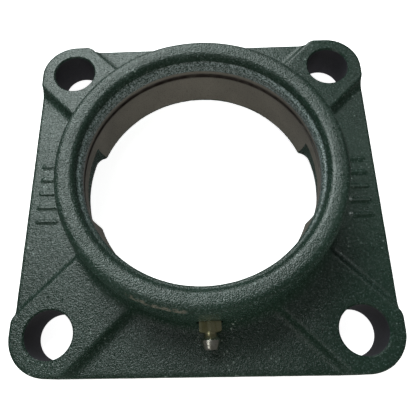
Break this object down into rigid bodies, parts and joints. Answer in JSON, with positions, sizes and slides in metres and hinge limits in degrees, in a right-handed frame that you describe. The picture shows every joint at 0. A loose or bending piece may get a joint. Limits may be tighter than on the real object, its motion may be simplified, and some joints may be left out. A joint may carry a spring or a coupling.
{
  "type": "flange bearing housing",
  "caption": "Square flange housing with a spherical seat for an insert bearing, edgewise loading slots, diagonal straps to the bolt lugs and a grease nipple.",
  "frame": {"origin": "where the bore axis meets the mounting face, which is the centre of the object's base", "axes": "+Z along the bore axis from the mounting face towards the open front of the boss; +X towards one loading slot; -Y is the side that carries the grease nipple"},
  "size_m": [0.13, 0.13, 0.036],
  "materials": {
    "painted_casting": "dark green paint over a rough sand-cast surface, satin, bare machined iron on the seat and the bolt holes",
    "plated_steel": "yellow zinc plate, bright on the turned head",
    "bearing_steel": "polished",
    "spring_steel": "drawn wire"
  },
  "bodies": {
    "housing": {"flange_housing": "painted_casting", "nipple_body": "plated_steel", "check_spring": "spring_steel"},
    "ball": {"check_ball": "bearing_steel"}
  },
  "joints": [
    {"name": "ball_slide", "type": "slide", "parent": "housing", "child": "ball", "axis": [-0.0349, 0.9994, 0], "range_m": [0, 0.0008], "stiffness_N_per_m": 400, "springref_m": -0.0012, "deforming": ["check_spring"]}
  ]
}
